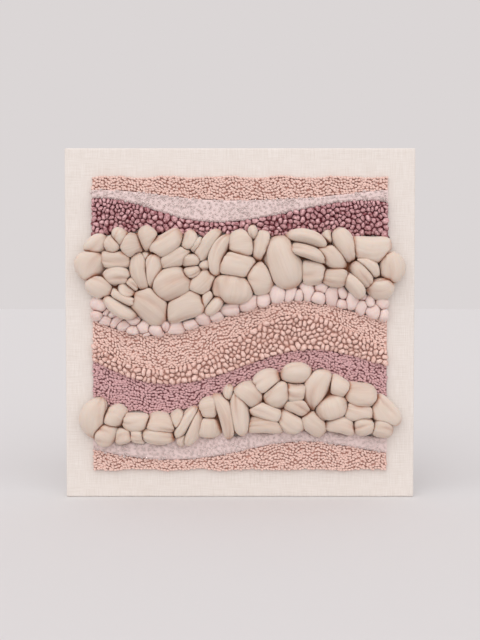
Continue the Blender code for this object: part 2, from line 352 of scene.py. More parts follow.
# %% [markdown]
# ## Yarns and their finish
# Wool is matt, with a faint halo of fibre ends that catches the light at grazing angles,
# which is what sheen is for. Each loop has its own small difference in tone, kept in an
# attribute on the mesh. Painted shade darkens the colour towards the cloth, where less light
# reaches into the pile. A fine noise gives the fibres in relief.

# %% Yarn material
TONE = "tone"
PAINTED_SHADE = "painted_shade"


def mesh_value(tree, name):
    """A number that the mesh keeps for each of its points."""
    return add_output(tree, "Attribute", "Fac", attribute_name=name)


def yarn_material(name, shade_colour, light, pile):
    """Matt wool: painted shade colour by the cloth, light at the tips, tone from the mesh."""
    material, tree, shader = plain_material(name, light, {
        "Roughness": 0.92, "Specular IOR Level": 0.12,
        "Sheen Weight": 0.30, "Sheen Roughness": 0.45, "Sheen Tint": (*light, 1.0),
    })
    where = add_output(tree, "TexCoord", "Object")
    # Painted shade: the colour runs from the shade colour near the cloth to the light one higher up.
    ends = [BED_Y - share * pile["height"] for share in pile["span"]]
    rise = add_output(tree, "MapRange", "Result", {
        "Value": add_output(tree, "SeparateXYZ", "Y", {0: where}),
        "From Min": ends[0], "From Max": ends[1], "To Max": 0.66,
    })
    fibres = add_output(tree, "TexNoise", "Fac", {
        "Vector": where, "Scale": pile["fibre"], "Detail": 3.0, "Roughness": 0.65,
    })
    mottle = pile["mottle"]
    # The speckle is random mottle of the fibres; on the bobbles it is coarse and strong, and also stands in
    # as painted highlights on their plies.
    speckle = add_maths(tree, "MULTIPLY_ADD", fibres, mottle, 0.15 - 0.6 * mottle)
    toned = add_maths(tree, "MULTIPLY", mesh_value(tree, TONE), 0.28)
    lit = add_maths(tree, "ADD", add_maths(tree, "ADD", rise, toned), speckle, use_clamp=True)
    # Painted shade: where the mesh marks seams and grooves, the colour goes back to the shade colour.
    kept = add_maths(tree, "MULTIPLY", lit, add_maths(tree, "SUBTRACT", 1.0, mesh_value(tree, PAINTED_SHADE)))
    raised = add_output(tree, "Bump", "Normal", {
        "Height": fibres, "Strength": 0.8, "Distance": pile["relief"],
    })
    shades = add_mix(tree, kept, (*shade_colour, 1.0), (*light, 1.0))
    set_inputs(shader, {"Base Color": shades, "Normal": raised})
    return material


# %% [markdown]
# For each kind of pile a table says how high it stands, at which shares of that height the
# painted shade colour ends and the light one starts, how fine, mottled and raised its fibres
# are, how high the mat below it is as a share of the pile, and the share of the painted shade
# colour in that mat.

# %% Tables of the piles and the yarns
PILE_COLUMNS = ("height", "span", "fibre", "mottle", "relief", "mat", "shade")
# On the bobbles the strong, coarse mottle also stands in as painted highlights.
PILES = {
    "loops": dict(zip(PILE_COLUMNS, (0.0070, (0.15, 0.65), 1100, 0.3, 0.0003, 0.38, 1.0))),
    "bobbles": dict(zip(PILE_COLUMNS, (0.0125, (0.25, 0.85), 330, 2.6, 0.0014, 0.42, 1.0))),
    "plush": dict(zip(PILE_COLUMNS, (0.0105, (0.30, 0.85), 520, 1.2, 0.0006, 0.76, 0.4))),
}
WOOLS = {}
for kind, name, shade_colour, light in (
    ("loops_rose", "rose_yarn", (212, 168, 155), (236, 204, 193)),
    ("loops_mauve", "mauve_yarn", (150, 100, 103), (216, 176, 177)),
    ("bobbles_peach", "peach_yarn", (214, 170, 156), (242, 212, 202)),
    ("bobbles_mauve", "deep_mauve_yarn", (124, 46, 57), (234, 191, 193)),
    ("plush", "pink_plush", (228, 205, 203), (223, 209, 205)),
):
    WOOLS[kind] = yarn_material(name, linear(*shade_colour), linear(*light), PILES[kind.split("_")[0]])
print("yarns:", list(WOOLS))

# %% [markdown]
# ## Many from one
# Each kind of pile has a small shape that repeats: one loop, one twisted bobble, one tuft.
# It is modelled once, and its points are then copied to all its places in one array, which
# makes one joined mesh that stays quick to handle. Each copy may be turned, tilted, stretched
# and toned a little differently, as hand work is.

# %% Joining copies of a small shape
def read_values(items, name, width=1, kind=float):
    """One property of all the items in a mesh's list, in rows of this width."""
    values = np.zeros(len(items) * width, kind)
    items.foreach_get(name, values)
    return values.reshape(-1, width) if width > 1 else values


def small_shape(obj):
    """Points, edges, faces, corner UVs and grooves of a modelled shape, which is then removed."""
    mesh = obj.data
    shape = {
        "points": read_values(mesh.vertices, "co", 3),
        "edges": read_values(mesh.edges, "vertices", 2, int),
        "corners": read_values(mesh.loops, "vertex_index", 1, int),
        "starts": read_values(mesh.polygons, "loop_start", 1, int),
        "grooves": np.zeros(len(mesh.vertices)),
    }
    if mesh.uv_layers:
        shape["uvs"] = read_values(mesh.uv_layers[0].data, "uv", 2)
    if PAINTED_SHADE in mesh.attributes:
        shape["grooves"] = read_values(mesh.attributes[PAINTED_SHADE].data, "value")
    bpy.data.objects.remove(obj)
    return shape


def add_values(mesh, name, values):
    """Keeps one number for each point of a mesh."""
    attribute = mesh.attributes.new(name, "FLOAT", "POINT")
    attribute.data.foreach_set("value", values)


def join_copies(name, shape, copies, tones, uvs=None, painted_shades=None):
    """One piece from copies, an array of (copy, point, xyz), of a small shape."""
    count, per_copy = copies.shape[:2]
    corners = (shape["corners"] + per_copy * np.arange(count)[:, None]).ravel()
    starts = (shape["starts"] + len(shape["corners"]) * np.arange(count)[:, None]).ravel()
    mesh = bpy.data.meshes.new(name)
    mesh.vertices.add(count * per_copy)
    mesh.vertices.foreach_set("co", copies.ravel())
    mesh.loops.add(len(corners))
    mesh.loops.foreach_set("vertex_index", corners)
    mesh.polygons.add(len(starts))
    mesh.polygons.foreach_set("loop_start", starts)
    mesh.update(calc_edges=True)
    add_values(mesh, TONE, np.repeat(tones, per_copy))
    add_values(mesh, PAINTED_SHADE, np.zeros(count * per_copy) if painted_shades is None else painted_shades.ravel())
    if uvs is not None:
        layer = mesh.uv_layers.new(name="strand")
        layer.data.foreach_set("uv", uvs.ravel())
    mesh.shade_smooth()
    mesh.validate()
    piece = bpy.data.objects.new(name, mesh)
    bpy.context.scene.collection.objects.link(piece)
    print(name, "copies", count, "triangles", len(corners) - 2 * len(starts))
    return piece


def on_cloth(places, turns, along, side, depth):
    """Points of copies that stand at places (x, z) on the cloth, each turned in its plane."""
    cos, sin = np.cos(turns)[:, None], np.sin(turns)[:, None]
    return np.stack([
        places[:, 0, None] + cos * along - sin * side,
        depth,
        places[:, 1, None] + sin * along + cos * side,
    ], axis=-1)


def standing_pile(index, shape, places, turns, tip, scales, chance):
    """A band's copies of a small shape, whose X lies along the row and Z leaves the cloth.

    tip is how far, by chance, the copies tip along and across their rows.
    """
    count = len(places)
    tilts, leans = chance.normal(0, tip, (2, count, 1))
    along, side, rise = np.moveaxis(shape["points"] * scales[:, None, :], 2, 0)
    along, side = along + rise * np.tan(tilts), side + rise * np.tan(leans)
    copies = on_cloth(places, turns, along, side, BED_Y - rise)
    return join_copies(BANDS[index]["name"] + "_pile", shape, copies, chance.uniform(0, 1, count))


# %% [markdown]
# ## The ground of each band
# On the face of punched cloth the yarn covers the linen completely. Under the loops lies a
# low mat of their own feet. It is a strip that follows the band's edges, thickened towards
# the cloth, and it closes the small gaps between loops with the same yarn, coloured with
# painted shade.

# %% Ground strips
GROUND_SHOULDER = 0.003
GROUND_RIM = 0.70
PILE_INSET = 0.0003


def ground_strip(index, inset, height, shade):
    """A low mat between a band's edges, from a grid that is thickened and then fitted to them.

    It keeps inset from the edges and falls away towards them, where the outer row of pile
    leans over it. shade is the share of painted shade colour in it.
    """
    low, high = EDGES[index] + inset, EDGES[index + 1] - inset
    only_select()
    bpy.ops.mesh.primitive_grid_add(x_subdivisions=FIELD_STEPS, y_subdivisions=4, size=1.0)
    strip = bpy.context.object
    wall = strip.modifiers.new("thickness", "SOLIDIFY")
    wall.thickness = 0.1
    wall.offset = -1.0
    bpy.ops.object.modifier_apply(modifier=wall.name)
    for vert in strip.data.vertices:
        station = int(round((vert.co.x + 0.5) * FIELD_STEPS))
        row = int(round(4 * (vert.co.y + 0.5)))
        width = high[station] - low[station]
        shoulder = min(GROUND_SHOULDER, width / 4) / width
        share = (0.0, shoulder, 0.5, 1 - shoulder, 1.0)[row]
        front = height * (GROUND_RIM if row in (0, 4) else 1.0)
        depth = front if vert.co.z > -0.05 else 0.0001
        vert.co = (STATIONS[station], BED_Y - depth, low[station] + width * share)
    # The mat's colour is painted shade, in the share shade.
    add_values(strip.data, PAINTED_SHADE, np.full(len(strip.data.vertices), shade))
    return strip


# %% Joining parts and finishing a piece
def join_pieces(main, others):
    """Joins other objects into the main one."""
    only_select(main)
    for other in others:
        other.select_set(True)
    bpy.ops.object.join()
    return main


def give_material(piece, material):
    """Gives a piece this material and no other."""
    piece.data.materials.clear()
    piece.data.materials.append(material)


def finish_band(index, main, others):
    """Joins the parts of a band, in its own wool, and puts the piece in its solid's place."""
    band = BANDS[index]
    join_pieces(main, others)
    give_material(main, WOOLS[band["kind"]])
    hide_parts(band["name"])
    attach(main, "root")


# %% [markdown]
# ## The reverse of the work
# Behind the cloth a punched yarn lies flat, in one short stitch from hole to hole. A stitch
# is a ball of few faces that is drawn out along its row and pressed flat on the linen's back,
# where it is seen through the open frame. Thick yarn gets a ball with more sides, whose poles
# are the stitch's ends.

# %% Stitches on the reverse
BACK_Y = FACE_Y + 0.0011
STITCH_TONES = (1.3, 2.3)
THIN_STITCH_TURN = 0.4


def edit_all():
    """Enters edit mode with the whole mesh selected."""
    bpy.ops.object.mode_set(mode="EDIT")
    bpy.ops.mesh.select_all(action="SELECT")


def cut_through(place, normal):
    """Cuts the whole mesh along a plane, in edit mode, and keeps both sides."""
    bpy.ops.mesh.select_all(action="SELECT")
    bpy.ops.mesh.bisect(plane_co=place, plane_no=normal)


def model_stitch(thick):
    """A small ball, 2 units long, wide and high, stretched to each stitch later."""
    only_select()
    if thick:
        bpy.ops.mesh.primitive_uv_sphere_add(segments=8, ring_count=5, radius=1.0)
    else:
        bpy.ops.mesh.primitive_ico_sphere_add(subdivisions=1, radius=1.0)
    edit_all()
    turn = math.pi / 2 if thick else THIN_STITCH_TURN
    bpy.ops.transform.rotate(value=turn, orient_axis="Y", center_override=(0, 0, 0))
    bpy.ops.object.mode_set(mode="OBJECT")
    return small_shape(bpy.context.object)


thin_stitch = model_stitch(False)
thick_stitch = model_stitch(True)
STITCHES = {
    "loops": (thin_stitch, (0.0030, 0.0016, 0.0008)),
    "bobbles": (thick_stitch, (0.0058, 0.0028, 0.0012)),
    "plush": (thin_stitch, (0.0034, 0.0017, 0.0008)),
}
print("thick stitch:", np.ptp(thick_stitch["points"], axis=0).round(2))


def kept_in_field(points):
    """The points, of which those past the field's sides are moved back to them."""
    points[..., 0] = np.clip(points[..., 0], -FIELD_HALF, FIELD_HALF)
    points[..., 2] = np.clip(points[..., 2], FIELD_LOW, FIELD_HIGH)
    return points


def reverse_stitches(stitch, size, places, ways, chance):
    """Flat stitches behind the cloth at these places; size is half a length, width and height."""
    count = len(places)
    scales = chance.uniform(0.85, 1.15, (count, 1, 3)) * size
    along, side, rise = np.moveaxis(stitch["points"] * scales, 2, 0)
    depth = np.maximum(BACK_Y + 0.5 * size[2] + rise, BACK_Y)
    copies = kept_in_field(on_cloth(places, ways, along, side, depth))
    return join_copies("reverse", stitch, copies, chance.uniform(*STITCH_TONES, count))


def finish_pile(index, pile, places, ways, chance):
    """Finishes a band of loops, bobbles or tufts, with its mat and its stitches on the reverse."""
    kind = BANDS[index]["kind"].split("_")[0]
    below = PILES[kind]
    mat = ground_strip(index, PILE_INSET, below["height"] * below["mat"], below["shade"])
    finish_band(index, pile, [mat, reverse_stitches(*STITCHES[kind], places, ways, chance)])


# %% [markdown]
# ## Fine loops
# A punch needle leaves a row of small arches. One arch is a ring of yarn: a round profile
# spun through half a turn, with its two legs drawn down to the cloth. The rows echo the
# edges of their band, as they do when a maker outlines a shape first and then fills it in.

# %% Model one loop
LOOP_YARN = 0.00158
LOOP_ARCH = 0.00085


def model_loop(name, sides, steps, yarn, arch, height, flat, waist, twist):
    """One arch of yarn by spinning a profile; a waist and a twist make it two plies.

    flat is the height of the arch's bow as a share of a round one.
    """
    only_select()
    bpy.ops.mesh.primitive_circle_add(vertices=sides, radius=yarn, fill_type="NGON", location=(arch, 0, 0))
    loop = bpy.context.object
    loop.name = name
    bpy.ops.object.transform_apply()
    edit_all()
    leg = height - flat * (arch + yarn)
    bpy.ops.mesh.extrude_region_move(TRANSFORM_OT_translate={"value": (0, 0, leg)})
    bpy.ops.mesh.spin(steps=steps, angle=math.pi, center=(0, 0, leg), axis=(0, 1, 0))
    bpy.ops.mesh.extrude_region_move(TRANSFORM_OT_translate={"value": (0, 0, -leg)})
    bpy.ops.mesh.select_all(action="SELECT")
    bpy.ops.mesh.remove_doubles(threshold=0.00001)
    bpy.ops.mesh.normals_make_consistent(inside=False)
    bpy.ops.object.mode_set(mode="OBJECT")
    grooves = []
    for vert in loop.data.vertices:
        turn = math.atan2(max(vert.co.z - leg, 0.0), vert.co.x)
        middle_x = arch * math.cos(turn)
        middle_z = leg + arch * math.sin(turn) if vert.co.z > leg else vert.co.z
        out = (vert.co.x - middle_x) * math.cos(turn) + (vert.co.z - middle_z) * math.sin(turn)
        side = vert.co.y
        angle = math.atan2(side, out)
        sunk = waist * (1 - math.cos(2 * angle))
        girth = math.hypot(side, out) * (1 - sunk)
        grooves.append(sunk)
        angle += twist * (turn / math.pi - 0.5)
        out, side = girth * math.cos(angle), girth * math.sin(angle)
        vert.co.x = middle_x + out * math.cos(turn)
        vert.co.y = side
        vert.co.z = middle_z + out * math.sin(turn)
        vert.co.z = leg + (vert.co.z - leg) * flat if vert.co.z > leg else vert.co.z
    # The depth of the groove between the plies is kept as painted shade, which darkens it.
    add_values(loop.data, PAINTED_SHADE, grooves)
    return loop


fine_loop = small_shape(model_loop("fine_loop", 5, 5, LOOP_YARN, LOOP_ARCH, 0.0070, 0.9, 0.04, 1.2))
print("points in a fine loop:", len(fine_loop["points"]), "size", np.ptp(fine_loop["points"], axis=0))

# %% Ground between a band's edges
def edges_at(index, x):
    """Heights of a band's lower and upper edge at each x."""
    return np.interp(x, STATIONS, EDGES[index]), np.interp(x, STATIONS, EDGES[index + 1])


def band_points(index, step, end_margin, edge_margin):
    """Points of a square grid in a band, away from the field's sides and the band's edges."""
    reach = FIELD_HALF - end_margin
    x, z = np.meshgrid(np.arange(-reach, reach, step), np.arange(FIELD_LOW, FIELD_HIGH, step))
    low, high = edges_at(index, x[0])
    inside = (z > low + edge_margin) & (z < high - edge_margin)
    return np.column_stack([x[inside], z[inside]])


# %% Rows that wander
MEANDER = 0.0036
MEANDER_LENGTH = 0.037
MEANDER_DRIFT = 45.0
EDGE_REST = 0.009


def meandered(index, places, ways, chance):
    """Places and ways of loops whose rows wander more, the further they are from the band's edges."""
    x, z = places.T
    low, high = edges_at(index, x)
    free = np.clip(np.minimum(z - low, high - z) / EDGE_REST, 0.0, 1.0)
    turns = 2 * math.pi / MEANDER_LENGTH
    phase = turns * x + MEANDER_DRIFT * z + chance.uniform(0, 6) + 1.1 * np.sin(0.37 * turns * x)
    shift = MEANDER * free * np.sin(phase)
    slope = MEANDER * free * turns * np.cos(phase)
    return np.column_stack([x, z + shift]), ways + np.arctan(slope)


# %% Rows that echo the edges
ROW_PITCH = 0.0046
LOOP_PITCH = 0.0040
FIRST_ROW = 0.36
MOST_ROWS = 24
ROW_ROOM = 0.93
LOOP_ROOM = 0.82
SPARE_ROOM = 0.71
EDGE_POINTS = 900
AT_ONCE = 3000


def dense_edge(z_values):
    """An edge as many close points (x, z), and the way along it at each."""
    x = np.linspace(-FIELD_HALF, FIELD_HALF, EDGE_POINTS)
    z = np.interp(x, STATIONS, z_values)
    kernel = np.hanning(15)
    smooth = np.convolve(np.pad(z, 7, mode="edge"), kernel / kernel.sum(), mode="valid")
    slope = np.gradient(smooth, x)
    length = np.sqrt(1 + slope ** 2)
    along = np.column_stack([1 / length, slope / length])
    return np.column_stack([x, smooth]), along


def near(points, others):
    """Distance from each point to the nearest of the others."""
    return np.sqrt(((points[:, None, :] - others[None]) ** 2).sum(axis=2).min(axis=1))


def echo_rows(index, chance):
    """Places and ways of the loops of one band.

    Row after row follows both edges, the rows then wander a little, and spare loops fill
    the ground that is still bare.
    """
    low, high = dense_edge(EDGES[index]), dense_edge(EDGES[index + 1])
    places, ways = [], []
    for row in range(MOST_ROWS):
        off = (row + FIRST_ROW) * ROW_PITCH
        for (own, way), (other, _), sign in ((low, high, 1), (high, low, -1)):
            line = own + sign * off * np.column_stack([-way[:, 1], way[:, 0]])
            clear = (near(line, own) > off * ROW_ROOM) & (near(line, other) > off * ROW_ROOM)
            clear &= np.abs(line[:, 0]) < FIELD_HALF - 0.0012
            gone = chance.uniform(0, LOOP_PITCH)
            for at in range(len(line)):
                if at > 0:
                    gone += math.dist(line[at], line[at - 1])
                if gone < LOOP_PITCH or not clear[at]:
                    continue
                if places:
                    apart = np.array(places) - line[at]
                    if (apart ** 2).sum(axis=1).min() < (LOOP_ROOM * LOOP_PITCH) ** 2:
                        continue
                gone = 0.0
                places.append(line[at])
                ways.append(math.atan2(way[at, 1], way[at, 0]))
    spare = chance.permutation(band_points(index, 0.0011, 0.0015, 0.0014))
    placed, ways = meandered(index, np.array(places), np.array(ways), chance)
    spare = spare[np.concatenate([
        near(part, placed) > SPARE_ROOM * LOOP_PITCH
        for part in np.array_split(spare, len(spare) // AT_ONCE + 1)
    ])]
    for spot in spare:
        apart = ((placed - spot) ** 2).sum(axis=1)
        if apart.min() > (SPARE_ROOM * LOOP_PITCH) ** 2:
            ways = np.append(ways, ways[apart.argmin()])
            placed = np.vstack([placed, spot])
    return placed, ways


# %% Fine loops in their bands
LOOP_STRETCH = (1.16, 1.20, 1.0)
LOOP_SHIFT = 0.00018
LOOP_TURN = 0.12
LOOP_TIP = 0.10


def fine_loop_band(index, seed):
    """All the loops of one band over their ground strip, as one piece."""
    chance = np.random.default_rng(seed)
    places, ways = echo_rows(index, chance)
    count = len(places)
    places = places + chance.normal(0, LOOP_SHIFT, (count, 2))
    scales = chance.uniform(0.92, 1.08, (count, 3)) * LOOP_STRETCH
    turns = ways + chance.normal(0, LOOP_TURN, count)
    pile = standing_pile(index, fine_loop, places, turns, LOOP_TIP, scales, chance)
    finish_pile(index, pile, places, ways + chance.normal(0, 0.15, count), chance)


for index, band in enumerate(BANDS):
    if band["kind"].startswith("loops"):
        fine_loop_band(index, 100 + index)

# %% [markdown]
# ## Soft things that press on each other
# Fat loops and roving lobes are soft and crowded. Each one alone would be a round body, so
# each is a field that grows from its middle and is 1 at its skin. A point of one body is
# pushed back along its ray until its own share is no more than its neighbour's field, which
# leaves a narrow seam halfway between the two. How close a point lies to such a seam is kept
# as its painted shade, which darkens the colour there.

# %% Pressing a body between its neighbours
PRESS_GAP = 0.02
PRESS_REACH = 1.10
PRESS_ROUNDNESS = 5.4
RAY_STEPS = np.linspace(0.30, 1.50, 41)[:, None]


def outline_axes(body):
    """The two half lengths of a body's outline, longest first, and their ways."""
    values, ways = np.linalg.eigh(np.array([[body[2], body[3]], [body[3], body[4]]]))
    return 1 / np.sqrt(values), ways.T


def body_field(body, points):
    """How far points (x, depth, z) are from a body's middle, where 1 is its skin."""
    depth = points[..., 1] - body[5]
    run = points[..., 0] - body[0] - body[7] * depth
    lift = points[..., 2] - body[1] - body[8] * depth
    plan = body[2] * run ** 2 + 2 * body[3] * run * lift + body[4] * lift ** 2
    reach = np.where(depth > 0, body[6], body[5])
    return np.sqrt(plan + (depth / reach) ** 2)


def meeting_share(body, middle, offset, other):
    """Share of each ray from a body's middle at which it meets a neighbour that presses on it.

    A firm body yields less, so the seam bows into the softer one, as far as its own skin.
    """
    there = body_field(other, middle + RAY_STEPS[..., None] * offset)
    beyond = np.minimum(RAY_STEPS / body[9] - there / other[9] + PRESS_GAP, PRESS_REACH - there)
    first = np.maximum((beyond > 0).argmax(axis=0), 1)
    after = np.take_along_axis(beyond, first[None], axis=0)[0]
    before = np.take_along_axis(beyond, first[None] - 1, axis=0)[0]
    step = RAY_STEPS[1, 0] - RAY_STEPS[0, 0]
    share = RAY_STEPS[first, 0] - step * np.clip(after / np.maximum(after - before, 1e-9), 0.0, 1.0)
    return np.where((beyond > 0).any(axis=0), share, 9.0)


def eased(values, edges, rounds):
    """Values of a mesh's points, moved round by round towards the mean of their neighbours."""
    ends = np.concatenate([edges, edges[:, ::-1]])
    touching = np.bincount(ends[:, 0], minlength=len(values))
    for _ in range(rounds):
        values = 0.5 * values + 0.5 * np.bincount(ends[:, 0], values[ends[:, 1]], len(values)) / touching
    return values


def seam_shade_strength(body, other):
    """How dark the painted shade in the seam of two neighbours is, the same from both sides."""
    mixed = math.sin(911 * (body[0] + other[0]) + 1733 * (body[1] + other[1]))
    return 0.72 + 0.28 * mixed


def press(body, offset, others, swell, wide, edges, rounds):
    """Places of a body's points between its neighbours, and the painted shade that each gets near a seam.

    swell is how far a body spreads to meet a neighbour that is near, wide is the share of
    the way to the middle over which a seam's painted shade fades, and rounds eases the skin.
    """
    middle = np.array([body[0], body[5], body[1]])
    meetings = np.array([meeting_share(body, middle, offset, other) for other in others])
    skin = 1 + swell * np.clip((1.42 - meetings.min(axis=0)) / 0.22, 0.0, 1.0)
    pull = (meetings ** -PRESS_ROUNDNESS).sum(axis=0)
    pressed = (skin ** -PRESS_ROUNDNESS + pull) ** (-1 / PRESS_ROUNDNESS)
    pressed = eased(pressed, edges, rounds)
    strengths = np.array([seam_shade_strength(body, other) for other in others])
    # Painted shade, darkest at the seam and fading towards the middle.
    seam_shade = np.clip(1 - (meetings.min(axis=0) - pressed) / wide, 0.0, 1.0)
    seam_shade = seam_shade * strengths[meetings.argmin(axis=0)]
    place = middle + offset * pressed[:, None]
    place[:, 1] = BED_Y - np.maximum(place[:, 1], 0.0003)
    return place, seam_shade


def neighbours(at, bodies):
    """The other bodies that are near enough to press on this one."""
    reach = outline_axes(bodies[at])[0].max()
    return [
        other for k, other in enumerate(bodies)
        if k != at and math.dist(bodies[at][:2], other[:2]) < 1.3 * (reach + outline_axes(other)[0].max())
    ]


def with_habits(bodies, lean, firmness, chance):
    """The bodies with a small lean along X and Z for each unit of depth, and how firm each is."""
    leans = chance.normal(0, lean, (len(bodies), 2))
    return np.column_stack([bodies, leans, chance.uniform(*firmness, len(bodies))])


def laid_out(body, way, run, side, depth):
    """Offsets (x, depth, z) from a body's middle of points that run along a way and lie beside it.

    The body leans, so what stands further out of the cloth lies further along its lean.
    """
    return np.column_stack([
        run * way[0] - side * way[1] + body[7] * depth,
        depth,
        run * way[1] + side * way[0] + body[8] * depth,
    ])


# %% [markdown]
# ## Fat twisted loops
# The bobbles are the same arch in a yarn twice as thick, of two plies that twist round
# each other, so that each loop looks like a grain with a seam across it, which painted shade
# darkens. They lie every way, packed until they fill their band.

# %% Model one bobble and pack a band with it
FAT_YARN = 0.0029
FAT_ARCH = 0.0029
BOBBLE_HEIGHT = 0.0122
BOBBLE_PITCH = 0.0072
BOBBLE_SAMPLE = 0.0011
BOBBLE_STRETCH = 1.22
BOBBLE_SIZES = (0.88, 1.15)
BOBBLE_OVERLAP = 1.12
BOBBLE_RISES = (0.74, 1.06)
BOBBLE_LUMP = 0.0008
BOBBLE_LEAN = 0.18
BOBBLE_FIRMNESS = (0.86, 1.16)
BOBBLE_SWELL = 0.03
BOBBLE_SEAM = 0.80

fat_loop = small_shape(model_loop("fat_loop", 8, 7, FAT_YARN, FAT_ARCH, BOBBLE_HEIGHT, 0.90, 0.15, 2.8))
FAT_SIZE = np.abs(fat_loop["points"]).max(axis=0)
print("points in a fat loop:", len(fat_loop["points"]), "half size", FAT_SIZE)


def bobble_band(index, seed):
    """All the fat loops of one band over their ground strip, as one piece."""
    chance = np.random.default_rng(seed)
    ground = band_points(index, BOBBLE_SAMPLE, 0.0, 0.0)
    bodies = []
    for own in shared_out(ground, BOBBLE_PITCH, BOBBLE_SAMPLE, BOBBLE_STRETCH, BOBBLE_SIZES, 12, chance):
        if len(own) > LEAST_GROUND:
            rise = BOBBLE_HEIGHT * chance.uniform(*BOBBLE_RISES)
            bodies.append((*fitted_outline(own, BOBBLE_OVERLAP)[0], 0.5 * rise, 0.5 * rise))
    bodies = with_habits(np.array(bodies), BOBBLE_LEAN, BOBBLE_FIRMNESS, chance)
    copies, painted_shades = [], []
    for at, body in enumerate(bodies):
        halves, ways = outline_axes(body)
        run, side, rise = (fat_loop["points"] / FAT_SIZE).T
        run, side = run * np.sqrt(1 - side ** 2 / 2), side * np.sqrt(1 - run ** 2 / 2)
        depth = (2 * rise - 1) * np.where(rise > 0.5, body[6], body[5])
        depth = depth + BOBBLE_LUMP * np.sin(chance.uniform(2, 5) * run + chance.uniform(0, 6)) * rise
        offset = laid_out(body, ways[0], halves[0] * run, halves[1] * side, depth)
        others = neighbours(at, bodies)
        place, seam_shade = press(body, offset, others, BOBBLE_SWELL, BOBBLE_SEAM, fat_loop["edges"], 0)
        copies.append(place)
        # Painted shade in the seams between the bobbles and in their ply grooves, of a random strength each.
        sunk = np.clip(seam_shade ** 1.3 + 1.2 * fat_loop["grooves"], 0.0, 1.0)
        painted_shades.append(chance.uniform(0.45, 0.85) * sunk)
    name, tones = BANDS[index]["name"] + "_pile", chance.uniform(0, 1, len(bodies))
    pile = join_copies(name, fat_loop, np.array(copies), tones, None, np.array(painted_shades))
    finish_pile(index, pile, bodies[:, :2], chance.normal(0, 0.35, len(bodies)), chance)


for index, band in enumerate(BANDS):
    if band["kind"].startswith("bobbles"):
        bobble_band(index, 200 + index)

# %% [markdown]
# ## Cut plush
# Where the loops are cut and brushed, the yarn's ends open into small tufts. One tuft is a
# spray of thin tapered strands that lean apart from one foot.

# %% Model one tuft and fill the plush bands
def packed_places(index, pitch, rounds, chance, margin):
    """Evenly crowded places in a band, by moving each to the middle of its own ground."""
    step = pitch / 4.5
    ground = band_points(index, step, margin, margin)
    count = int(round(len(ground) * step ** 2 / pitch ** 2))
    centres = ground[chance.choice(len(ground), count, replace=False)]
    for _ in range(rounds):
        owner = np.concatenate([
            ((part[:, None, :] - centres[None]) ** 2).sum(axis=2).argmin(axis=1)
            for part in np.array_split(ground, max(1, len(ground) // 4000))
        ])
        sums = np.column_stack([np.bincount(owner, ground[:, k], count) for k in (0, 1)])
        own = np.bincount(owner, minlength=count)
        centres = np.where(own[:, None] > 0, sums / np.maximum(own, 1)[:, None], centres)
    return centres


TUFT_STRANDS = 8
TUFT_HEIGHT = 0.0106
TUFT_STRAND = 0.00120
TUFT_TURN = 2.4
TUFT_SPREAD = 0.0023
TUFT_PITCH = 0.0045
TUFT_STRETCH = (1.08, 1.08, 0.92)
TUFT_TIP = 0.12
TUFT_ROUNDS = 4
TUFT_MARGIN = 0.0004


def model_tuft(chance):
    """A spray of tapered strands, each a cone that is bent outwards, the outer ones further."""
    made = []
    for at in range(TUFT_STRANDS):
        only_select()
        bpy.ops.mesh.primitive_cone_add(
            vertices=4, radius1=TUFT_STRAND, radius2=TUFT_STRAND * 0.6, depth=TUFT_HEIGHT,
            location=(0, 0, TUFT_HEIGHT / 2),
        )
        strand = bpy.context.object
        bpy.ops.object.transform_apply()
        bpy.ops.object.mode_set(mode="EDIT")
        cut_through((0, 0, TUFT_HEIGHT * 0.6), (0, 0, 1))
        bpy.ops.object.mode_set(mode="OBJECT")
        way = at * TUFT_TURN
        lean = TUFT_SPREAD * math.sqrt(at / TUFT_STRANDS)
        length = chance.uniform(0.86, 1.04) * (1 - 0.16 * at / TUFT_STRANDS)
        for vert in strand.data.vertices:
            share = (vert.co.z / TUFT_HEIGHT) ** 1.5
            vert.co.x += lean * math.cos(way) * share
            vert.co.y += lean * math.sin(way) * share
            vert.co.z *= length
        made.append(strand)
    return join_pieces(made[0], made[1:])


tuft = small_shape(model_tuft(np.random.default_rng(31)))
print("points in a tuft:", len(tuft["points"]))


def plush_band(index, seed):
    """All the tufts of one band over their ground strip, as one piece."""
    chance = np.random.default_rng(seed)
    places = packed_places(index, TUFT_PITCH, TUFT_ROUNDS, chance, TUFT_MARGIN)
    count = len(places)
    scales = chance.uniform(0.91, 1.08, (count, 3)) * TUFT_STRETCH
    turns = chance.uniform(0, 2 * math.pi, count)
    pile = standing_pile(index, tuft, places, turns, TUFT_TIP, scales, chance)
    finish_pile(index, pile, places, chance.normal(0, 0.4, count), chance)


for index, band in enumerate(BANDS):
    if band["kind"] == "plush":
        plush_band(index, 300 + index)

# %% [markdown]
# ## Roving
# Combed roving has no twist, so a lobe shows long smooth lines of fibre from one pinched end
# to the other, and soft creases that start at a pinch and fade. A ball with its poles at
# the two ends has its lines of faces just there. Each lobe is such a ball, fitted to its
# place, and pushed back wherever a neighbour presses on it, which leaves the narrow seams
# between the lobes. Painted shade darkens the seams, the creases and the pinched ends.

